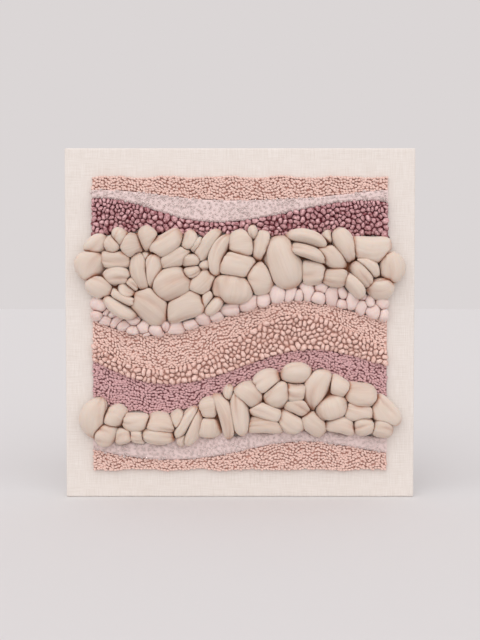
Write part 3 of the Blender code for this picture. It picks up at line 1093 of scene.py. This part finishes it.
# %% Roving material
def roving_material(name, painted_crevice_shade, shade, body, bright, across, along):
    """Combed wool with its fibres along the strand, on the strand's own UV in metres."""
    material, tree, shader = plain_material(name, body, {
        "Roughness": 0.85, "Subsurface Weight": 0.35, "Subsurface Radius": (1.0, 0.6, 0.4),
        "Subsurface Scale": 0.004, "Specular IOR Level": 0.12,
        "Sheen Weight": 0.3, "Sheen Roughness": 0.4, "Sheen Tint": (*bright, 1.0),
    })
    strand = add_output(tree, "UVMap", "UV", uv_map="strand")
    fine = stretched_noise(tree, strand, (across, along, 1.0), 4.0, 0.6, 0.3)
    broad = stretched_noise(tree, strand, (across / 7, along / 3, 1.0), 2.0, 0.5, shift=(3.0, 7.0, 0.0))
    toned = add_maths(tree, "MULTIPLY", mesh_value(tree, TONE), 0.25)
    blend = add_maths(tree, "MULTIPLY_ADD", fine, 0.45, toned)
    total = add_maths(tree, "MULTIPLY_ADD", broad, 0.40, blend)
    colour = add_ramp(tree, total, ((0.25, shade), (0.52, body), (0.80, bright)))
    # Painted shade: the seams, folds and pinched ends marked on the mesh get a dark brown.
    sunk = add_mix(tree, mesh_value(tree, PAINTED_SHADE), colour, (*painted_crevice_shade, 1.0))
    soft = add_output(tree, "Bump", "Normal", {"Height": broad, "Strength": 0.35, "Distance": 0.0016})
    crisp = add_output(tree, "Bump", "Normal", {
        "Height": fine, "Strength": 0.40, "Distance": 0.0004, "Normal": soft,
    })
    set_inputs(shader, {"Base Color": sunk, "Normal": crisp})
    return material


# The first colour of each roving is its painted crevice shade.
WOOLS["roving"] = roving_material(
    "beige_roving", linear(178, 122, 94),
    linear(200, 181, 167), linear(213, 197, 184), linear(220, 206, 194), 1500, 45,
)
WOOLS["roving_pink"] = roving_material(
    "pale_pink_roving", linear(194, 136, 124),
    linear(216, 193, 187), linear(227, 207, 201), linear(233, 216, 210), 1800, 70,
)

# %% Lobes that are two or three strands
STRAND_SHARES = (0.46, 0.46, 0.08)
STRAND_TURN = 0.22
SPLIT_WIDTH = 0.013


def body_row(middle, halves, way, seat, rise):
    """A body from its middle, its two half lengths, the way of the first one, and its depths."""
    side = np.array([-way[1], way[0]])
    metric = np.outer(way, way) / halves[0] ** 2 + np.outer(side, side) / halves[1] ** 2
    return (*middle, metric[0, 0], metric[0, 1], metric[1, 1], seat, rise)


def split_lobes(lobes, chance):
    """The lobes, of which some become two or three strands that lie side by side in its outline."""
    strands = []
    for lobe in lobes:
        halves, ways = outline_axes(lobe)
        parts = chance.choice((1, 2, 3), p=STRAND_SHARES)
        if halves[1] < SPLIT_WIDTH or abs(lobe[0]) > FIELD_HALF - 0.008:
            parts = 1
        cut = 0 if parts == 3 or chance.uniform() < 0.6 else 1
        for part in range(parts):
            off = (part - (parts - 1) / 2) * 2 * halves[cut] / parts * 0.92
            turn = chance.uniform(-STRAND_TURN, STRAND_TURN) * (parts > 1)
            way = ways[1 - cut]
            way = np.array([
                way[0] * math.cos(turn) - way[1] * math.sin(turn),
                way[0] * math.sin(turn) + way[1] * math.cos(turn),
            ])
            own = (halves[1 - cut], halves[cut] / parts * (1.12 if parts > 1 else 1.0))
            rise = lobe[6] * (chance.uniform(0.80, 1.06) if parts > 1 else 1.0)
            strands.append(body_row(lobe[:2] + off * ways[cut], own, way, lobe[5], rise))
    return np.array(strands)


# %% Small strands that show in the gaps
GAP_REACH = 1.16
GAP_STRAND = (0.0105, 0.0075)
GAP_APART = 0.011


def gap_strands(index, bodies, chance):
    """The bodies with short strands wherever they leave a band's ground bare."""
    spots = band_points(index, LOBE_SAMPLE, 0.004, 0.002)
    run, lift = spots[:, :1] - bodies[:, 0], spots[:, 1:] - bodies[:, 1]
    plan = bodies[:, 2] * run ** 2 + 2 * bodies[:, 3] * run * lift + bodies[:, 4] * lift ** 2
    bare = np.sqrt(plan.min(axis=1))
    spots, bare = spots[bare > GAP_REACH], bare[bare > GAP_REACH]
    found = []
    for at in np.argsort(-bare):
        if all(math.dist(spots[at], other[:2]) > GAP_APART for other in found):
            turn = chance.uniform(0, math.pi)
            way = np.array([math.cos(turn), math.sin(turn)])
            depths = (bodies[0][5], bodies[:, 6].mean() * chance.uniform(0.5, 0.75))
            found.append(body_row(spots[at], GAP_STRAND, way, *depths))
    print("small strands:", len(found))
    return np.vstack([bodies, found]) if found else bodies


# %% Lobes pressed against each other
LOBE_LEAN = 0.17
LOBE_FIRMNESS = (0.72, 1.38)
FIRM_RISE = 0.34
LOBE_BLUNTNESS = (2.2, 2.9)
LOBE_TAPER = (0.46, 0.58)
LOBE_SQUARE = 2.4
LOBE_BEND = 0.30
LOBE_SWELL = 0.26
LOBE_SEAM = 0.60


def folded_section(share, around, most, chance):
    """How the skin of a strand sinks in up to most folds that start at one pinched end and fade."""
    sunk = np.zeros_like(share)
    for _ in range(chance.integers(1, most + 1)):
        start = chance.choice((-1.0, 1.0))
        fade = np.clip((chance.uniform(0.0, 1.2) - start * share) / 1.1, 0.0, 1.0) ** 1.2
        middle = chance.uniform(-1.2, 1.2) + chance.uniform(-0.4, 0.4) * share
        fold = np.exp(-np.abs(around - middle) / chance.uniform(0.10, 0.20))
        sunk = np.maximum(sunk, chance.uniform(0.07, 0.20) * fold * fade)
    return sunk


def shape_lobe(ball, edges, body, others, chance):
    """One ball's points, as a lobe: fitted, pinched, folded, bent and pressed, with each point's painted
    shade. Depth is Y.
    """
    halves, ways = outline_axes(body)
    long_first = chance.uniform() < 0.68 or halves[0] > 1.4 * halves[1]
    long_half, wide_half = halves if long_first else halves[::-1]
    share = ball[:, 2]
    radial = np.sqrt(np.maximum(1 - share ** 2, 1e-9))
    blunt = np.maximum(1 - np.abs(share) ** chance.uniform(*LOBE_BLUNTNESS), 0.0)
    girth = blunt ** chance.uniform(*LOBE_TAPER)
    across, up = ball[:, 1] / radial, -ball[:, 0] / radial
    corner = np.maximum(np.abs(across) ** LOBE_SQUARE + np.abs(up) ** LOBE_SQUARE, 1e-6)
    around = np.arctan2(across, up)
    sunk = folded_section(share, around, 3 if wide_half > SPLIT_WIDTH else 2, chance)
    ridges = 0.015 * np.sin(chance.integers(5, 9) * around + chance.uniform(0, 6) + 1.5 * share)
    bulge = 0.05 * np.sin(2 * around + chance.uniform(0, 6)) * np.sin(2.5 * share + chance.uniform(0, 6))
    section = girth * corner ** (-1 / LOBE_SQUARE) * (1 - sunk + ridges + bulge)
    across, up = across * section, up * section
    bend = chance.uniform(-LOBE_BEND, LOBE_BEND) * long_half / wide_half * (long_half > wide_half)
    across = across + bend * (share ** 2 - 0.35)
    height = np.where(up > 0, body[6], body[5]) * up
    way = ways[0] if long_first else ways[1]
    offset = laid_out(body, way, long_half * share, wide_half * across, height)
    place, seam_shade = press(body, offset, others, LOBE_SWELL, LOBE_SEAM, edges, 2)
    # Painted shade in the seams, along the folds and at the pinched ends.
    pinch = np.clip((np.abs(share) - 0.82) / 0.18, 0.0, 1.0)
    painted_shade = eased(np.clip(seam_shade ** 1.15 + 2.6 * sunk + 0.6 * pinch, 0.0, 1.0), edges, 1)
    return place, painted_shade, (2 * math.pi * wide_half * 0.8, 2 * long_half * 1.3)


# %% Stray fibres
FIBRE_SEGMENTS = 5
FIBRE_LENGTHS = (0.005, 0.013)
FIBRE_RADIUS = 0.00009


def model_fibre():
    """A straight thin fibre of three sides along X, one unit long, that narrows to its tip."""
    only_select()
    bpy.ops.mesh.primitive_cone_add(
        vertices=3, radius1=1.0, radius2=0.25, depth=1.0, location=(0.5, 0, 0), rotation=(0, math.pi / 2, 0)
    )
    bpy.ops.object.transform_apply()
    bpy.ops.object.mode_set(mode="EDIT")
    for step in range(1, FIBRE_SEGMENTS):
        cut_through((step / FIBRE_SEGMENTS, 0, 0), (1, 0, 0))
    bpy.ops.object.mode_set(mode="OBJECT")
    return small_shape(bpy.context.object)


fibre = model_fibre()


def stray_fibres(points, painted_shades, ways, count, chance):
    """Curved fibres that leave the skin of the strands; ways are the skin's outward directions."""
    open_skin = np.flatnonzero((painted_shades < 0.25) & (points[:, 1] < BED_Y - 0.008))
    roots = chance.choice(open_skin, count)
    aim = chance.normal(0, 1, (count, 3))
    out = ways[roots]
    aim -= (aim * out).sum(axis=1)[:, None] * out
    aim /= np.linalg.norm(aim, axis=1)[:, None]
    bend = np.cross(aim, out) * chance.choice((-1, 1), count)[:, None]
    bend /= np.linalg.norm(bend, axis=1)[:, None]
    lengths = chance.uniform(*FIBRE_LENGTHS, count)[:, None]
    share = fibre["points"][:, 0]
    lift = chance.uniform(0.0006, 0.0022, count)[:, None]
    curl = chance.uniform(-0.5, 0.5, count)[:, None] * lengths
    rise = lift * np.sin(math.pi * np.clip(share, 0, 1)) + 0.15 * lift
    middle = (
        points[roots][:, None, :] + aim[:, None] * (lengths * share)[..., None]
        + out[:, None] * rise[..., None] + bend[:, None] * (curl * share ** 2)[..., None]
    )
    round_it = FIBRE_RADIUS * (
        bend[:, None] * fibre["points"][:, 1, None] + out[:, None] * fibre["points"][:, 2, None]
    )
    copies = middle + round_it
    copies[..., 1] = np.minimum(copies[..., 1], BED_Y - 0.0005)
    uvs = np.zeros((count, len(fibre["corners"]), 2))
    return join_copies("fibres", fibre, copies, chance.uniform(0.5, 1.5, count), uvs)


# %% The roving's stitches on the reverse
PAD_DEPTHS = (0.0004, 0.0022)
PAD_FIRMNESS = (0.85, 1.15)
PAD_SEAM = 0.30


def reverse_pads(lobes, chance):
    """Flat pads of roving behind the cloth, which lie and press on each other as the lobes do."""
    only_select()
    bpy.ops.mesh.primitive_uv_sphere_add(segments=16, ring_count=9, radius=1.0)
    pad = small_shape(bpy.context.object)
    across, up, share = pad["points"][:, 1], -pad["points"][:, 0], pad["points"][:, 2]
    square = np.maximum(np.abs(across) ** 3 + np.abs(share) ** 3, 1e-6) ** (1 / 3)
    full = np.hypot(across, share) / square
    inner = lobes[np.abs(lobes[:, 0]) < FIELD_HALF - 0.004]
    flat = np.column_stack([inner[:, :5], np.tile(PAD_DEPTHS, (len(inner), 1))])
    bodies = with_habits(flat, 0.0, PAD_FIRMNESS, chance)
    copies, painted_shades, uvs = [], [], []
    for at, body in enumerate(bodies):
        halves, ways = outline_axes(body)
        depth = up * np.where(up > 0, body[6], body[5])
        offset = laid_out(body, ways[0], halves[0] * share * full, halves[1] * across * full, depth)
        others = neighbours(at, bodies)
        place, seam_shade = press(body, offset, others, LOBE_SWELL, PAD_SEAM, pad["edges"], 1)
        place[:, 1] = BACK_Y + BED_Y - place[:, 1]
        copies.append(kept_in_field(place))
        # Painted shade in the seams between the pads.
        painted_shades.append(0.45 * seam_shade ** 1.2)
        uvs.append(pad["uvs"] * (0.06, 2.6 * halves[0]) + chance.uniform(0, 9, 2))
    tones = chance.uniform(0, 1, len(bodies))
    return join_copies("reverse", pad, np.array(copies), tones, np.array(uvs), np.array(painted_shades))


# %% All the roving of a band
ROVING_INSET = 0.004
ROVING_MAT = 0.16
FIBRES_PER_LOBE = 9


def outward_ways(bodies, copies):
    """Rough outward directions of the strands' points, away from the line of each one's middle."""
    middles = np.column_stack([bodies[:, 0], BED_Y - bodies[:, 5], bodies[:, 1]])[:, None]
    away = copies - middles
    return away / np.maximum(np.linalg.norm(away, axis=2, keepdims=True), 1e-6)


def roving_band(index, segments, rings, seed):
    """All the lobes of one roving band over their ground strip, as one piece."""
    name = BANDS[index]["name"]
    chance = np.random.default_rng(seed)
    only_select()
    bpy.ops.mesh.primitive_uv_sphere_add(segments=segments, ring_count=rings, radius=1.0)
    ball = small_shape(bpy.context.object)
    strands = gap_strands(index, split_lobes(LOBES[index], chance), chance)
    bodies = with_habits(strands, LOBE_LEAN, LOBE_FIRMNESS, chance)
    bodies[:, 6] *= 1 + FIRM_RISE * (bodies[:, 9] - np.mean(LOBE_FIRMNESS))
    copies, painted_shades, uvs = [], [], []
    for at, body in enumerate(bodies):
        place, painted_shade, size = shape_lobe(ball["points"], ball["edges"], body, neighbours(at, bodies), chance)
        copies.append(place)
        painted_shades.append(painted_shade)
        uvs.append(ball["uvs"] * size + chance.uniform(0, 9, 2))
    copies, painted_shades = np.array(copies), np.array(painted_shades)
    tones = chance.uniform(0, 1, len(bodies))
    strand = join_copies(name + "_strand", ball, copies, tones, np.array(uvs), painted_shades)
    # The roving's mat is coloured all with the painted crevice shade.
    mat = ground_strip(index, ROVING_INSET, ROVING[name]["height"] * ROVING_MAT, 1.0)
    outward = outward_ways(bodies, copies).reshape(-1, 3)
    count = FIBRES_PER_LOBE * len(bodies)
    hairs = stray_fibres(copies.reshape(-1, 3), painted_shades.ravel(), outward, count, chance)
    finish_band(index, strand, [mat, hairs, reverse_pads(LOBES[index], chance)])


for index in LOBES:
    if BANDS[index]["kind"] == "roving_pink":
        roving_band(index, 30, 20, 400 + index)
    else:
        roving_band(index, 48, 24, 400 + index)

# %% [markdown]
# ## Linen cover
# The cloth is one sheet that is drawn over the bars, turned round their edges and fastened
# behind. It starts as a box of the panel's size, which is opened at the back, rounded at
# its edges and thickened inwards to the cloth. Its UV is the flat cloth in metres, unfolded from
# the face over the sides to the back, so that the weave runs on round the edges.

# %% Model the linen
LINEN_BACK = 0.030
LINEN_THICK = 0.0009
LINEN_ROUND = 0.0022
LINEN_CUTS = 60
SIDE_CUTS = 5
FOLD_EDGE = 0.0003
PANEL_DEPTH = -2 * FACE_Y

only_select()
bpy.ops.mesh.primitive_cube_add(size=1.0, location=(0, 0, 0))
linen = bpy.context.object
linen.name = "linen_sheet"
linen.scale = (2 * PANEL_HALF, PANEL_DEPTH, 2 * PANEL_HALF)
linen.location = (0, 0, PANEL_HALF)
bpy.ops.object.transform_apply()
edit_all()
bpy.ops.mesh.bevel(offset=LINEN_ROUND, segments=3, affect="EDGES")
bpy.ops.object.mode_set(mode="OBJECT")


def select_back():
    """Selects the linen's faces that look backwards, and enters edit mode."""
    only_select(linen)
    bpy.ops.object.mode_set(mode="EDIT")
    bpy.ops.mesh.select_all(action="DESELECT")
    bpy.ops.mesh.select_mode(type="FACE")
    bpy.ops.object.mode_set(mode="OBJECT")
    for face in linen.data.polygons:
        face.select = face.normal.y > 0.99
    bpy.ops.object.mode_set(mode="EDIT")


select_back()
bpy.ops.mesh.inset(thickness=LINEN_BACK - LINEN_ROUND, depth=0)
bpy.ops.mesh.delete(type="FACE")
bpy.ops.object.mode_set(mode="OBJECT")
for slant in (-1, 1):
    for off in (-FOLD_EDGE, FOLD_EDGE):
        select_back()
        bpy.ops.mesh.bisect(plane_co=(off, 0, PANEL_HALF), plane_no=(1, 0, slant))
        bpy.ops.object.mode_set(mode="OBJECT")
only_select(linen)
bpy.ops.object.mode_set(mode="EDIT")
for step in range(LINEN_CUTS):
    cut = -PANEL_HALF + (step + 0.5) * 2 * PANEL_HALF / LINEN_CUTS
    cut_through((cut, 0, 0), (1, 0, 0))
    cut_through((0, 0, cut + PANEL_HALF), (0, 0, 1))
for step in range(SIDE_CUTS):
    cut_through((0, FACE_Y + (step + 0.5) * PANEL_DEPTH / SIDE_CUTS, 0), (0, 1, 0))
bpy.ops.object.mode_set(mode="OBJECT")
print("linen faces:", len(linen.data.polygons))

# %% Unevenness, thickness and the unfolded UV of the linen
FOLD_RISE = 0.0010
SLACK = 0.00025


def unfolded(point, normal):
    """Place on the flat cloth of a point on the stretched one."""
    depth = point.y - FACE_Y
    x, z = point.x, point.z - PANEL_HALF
    u, v = x, z
    if normal.y > 0.7:
        if abs(x) > abs(z):
            u = math.copysign(PANEL_HALF + PANEL_DEPTH + PANEL_HALF - abs(x), x)
        else:
            v = math.copysign(PANEL_HALF + PANEL_DEPTH + PANEL_HALF - abs(z), z)
    elif abs(normal.x) > 0.7:
        u = math.copysign(PANEL_HALF + depth, x)
    elif abs(normal.z) > 0.7:
        v = math.copysign(PANEL_HALF + depth, z)
    return u, v


layer = linen.data.uv_layers.new(name="cloth")
for face in linen.data.polygons:
    for corner in face.loop_indices:
        vertex = linen.data.vertices[linen.data.loops[corner].vertex_index]
        layer.data[corner].uv = unfolded(vertex.co, face.normal)

for vert in linen.data.vertices:
    x, z = vert.co.x, vert.co.z
    if vert.co.y < FACE_Y + 0.0005 and abs(x) < 0.248 and 0.006 < z < 0.502:
        vert.co.y += SLACK * math.sin(23 * x + 9 * z) * math.sin(31 * z - 5 * x)
    if vert.co.y > -FACE_Y - 0.0001:
        lift = z - PANEL_HALF
        inward = PANEL_HALF - max(abs(x), abs(lift))
        on_side = abs(x) > abs(lift)
        vert.co.y += FOLD_RISE * on_side * min(max(inward - 0.002, 0.0) / 0.003, 1.0)
        if inward > LINEN_BACK - 0.0005:
            cut = 0.0007 * math.sin(61 * (x + lift)) + 0.0005 * math.sin(173 * (x - lift))
            if on_side:
                vert.co.x += cut
            else:
                vert.co.z += cut

only_select(linen)
wall = linen.modifiers.new("thickness", "SOLIDIFY")
wall.thickness = LINEN_THICK
wall.offset = -1.0
bpy.ops.object.modifier_apply(modifier=wall.name)
linen.data.shade_smooth()
bpy.ops.object.shade_smooth_by_angle(angle=math.radians(40))

# %% Linen material
def linen_material():
    """Plain weave in off-white flax: threads both ways, thick and thin places, slubs."""
    material, tree, shader = plain_material("off_white_linen", linear(228, 222, 217), {
        "Roughness": 0.9, "Specular IOR Level": 0.2, "Sheen Weight": 0.2, "Sheen Roughness": 0.5,
    })
    cloth = add_output(tree, "UVMap", "UV", uv_map="cloth")
    slubs, threads = [], []
    for way, scale, shift in (
        ("X", (1150.0, 38.0, 1.0), (0.3, 0.1, 0.0)),
        ("Y", (38.0, 1150.0, 1.0), (0.7, 0.9, 0.0)),
    ):
        wave = add_output(tree, "TexWave", "Fac", {
            "Vector": cloth, "Scale": 170.0, "Distortion": 0.6, "Detail": 1.0, "Detail Scale": 0.4,
        }, bands_direction=way)
        slubs.append(stretched_noise(tree, cloth, scale, 3.0, 0.6, shift=shift))
        threads.append(add_maths(tree, "MULTIPLY", slubs[-1], wave))
    tint = add_output(tree, "MapRange", "Result", {
        "Value": add_maths(tree, "ADD", *slubs), "From Min": 0.7, "From Max": 1.3,
    })
    shades = add_mix(tree, tint, (*linear(216, 207, 199), 1.0), (*linear(233, 227, 222), 1.0))
    weave = add_maths(tree, "MAXIMUM", *threads)
    raised = add_output(tree, "Bump", "Normal", {"Height": weave, "Strength": 0.5, "Distance": 0.0004})
    set_inputs(shader, {"Base Color": shades, "Normal": raised})
    return material


give_material(linen, linen_material())
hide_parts("linen_cover")
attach(linen, "root")

# %% [markdown]
# ## Wooden bars
# The stretcher bars keep the shape that they have in the construction. They are planed
# softwood, so they get a pale grain that runs along each bar: noise that is drawn out
# along the bar's length, folded over again and again, makes the lines of the rings.

# %% Bar materials
def wood_material(name, stretched):
    """Planed softwood with its grain along one axis; stretched is the pattern's scale."""
    material, tree, shader = plain_material(name, linear(222, 190, 148), {"Roughness": 0.6})
    rings = stretched_noise(tree, add_output(tree, "TexCoord", "Object"), stretched, 4.0, 0.5, 0.4)
    folded = add_maths(tree, "PINGPONG", add_maths(tree, "MULTIPLY", rings, 22.0), 1.0)
    colour = add_ramp(tree, folded, ((0.0, linear(204, 166, 120)), (1.0, linear(232, 204, 166))))
    raised = add_output(tree, "Bump", "Normal", {"Height": folded, "Strength": 0.15, "Distance": 0.0003})
    set_inputs(shader, {"Base Color": colour, "Normal": raised})
    return material


for finish, stretched, bars in (
    ("level_pine", (3.0, 60.0, 60.0), ("bar_bottom", "bar_top")),
    ("upright_pine", (60.0, 60.0, 3.0), ("bar_left", "bar_right")),
):
    wood = wood_material(finish, stretched)
    for name in bars:
        give_material(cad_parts[name], wood)
    print(finish, "on", bars)

# %% The end
only_select()
